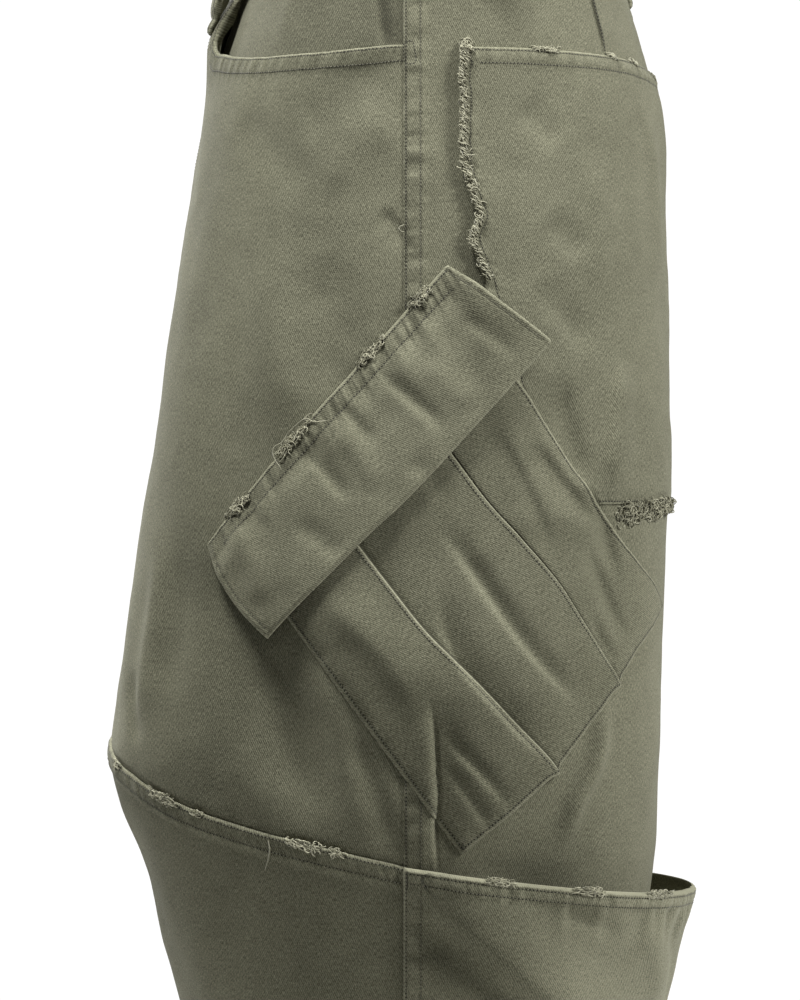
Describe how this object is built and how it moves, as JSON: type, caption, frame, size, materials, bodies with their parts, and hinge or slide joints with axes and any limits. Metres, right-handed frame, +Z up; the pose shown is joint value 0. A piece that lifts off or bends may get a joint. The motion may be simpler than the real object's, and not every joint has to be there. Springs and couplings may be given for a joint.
{
  "type": "cargo shorts",
  "caption": "Long cargo shorts in worn olive twill, filled out as when worn, with slanted pleated cargo pockets, slanted raw-edged flaps and open-topped lower back pockets.",
  "frame": {"origin": "centre of the waist opening, level with the waistband's top edge at the side seams", "axes": "+Z up along the wearer, front towards -Y, the wearer's left towards +X"},
  "size_m": [0.4804, 0.3059, 0.6782],
  "materials": {
    "twill": "washed olive cotton twill, matt, with worn edges",
    "twill_inner": "the same olive twill, on the layers behind the pocket mouth and the fly",
    "button": "dark olive, turned, four holes"
  },
  "bodies": {
    "root": {"front_left": "twill", "front_right": "twill", "back_left": "twill", "back_right": "twill", "lower_front_left": "twill", "lower_front_right": "twill", "lower_back_left": "twill", "lower_back_right": "twill", "pocket_facing_left": "twill_inner", "pocket_facing_right": "twill_inner", "back_pocket_left": "twill", "back_pocket_right": "twill", "cargo_pocket_left": "twill", "cargo_pocket_right": "twill", "cargo_flap_left": "twill", "cargo_flap_right": "twill", "waistband": "twill", "fly_shield": "twill_inner", "belt_loop_front_left": "twill", "belt_loop_front_right": "twill", "belt_loop_side_left": "twill", "belt_loop_side_right": "twill", "belt_loop_back": "twill", "waist_button": "button"}
  },
  "joints": []
}
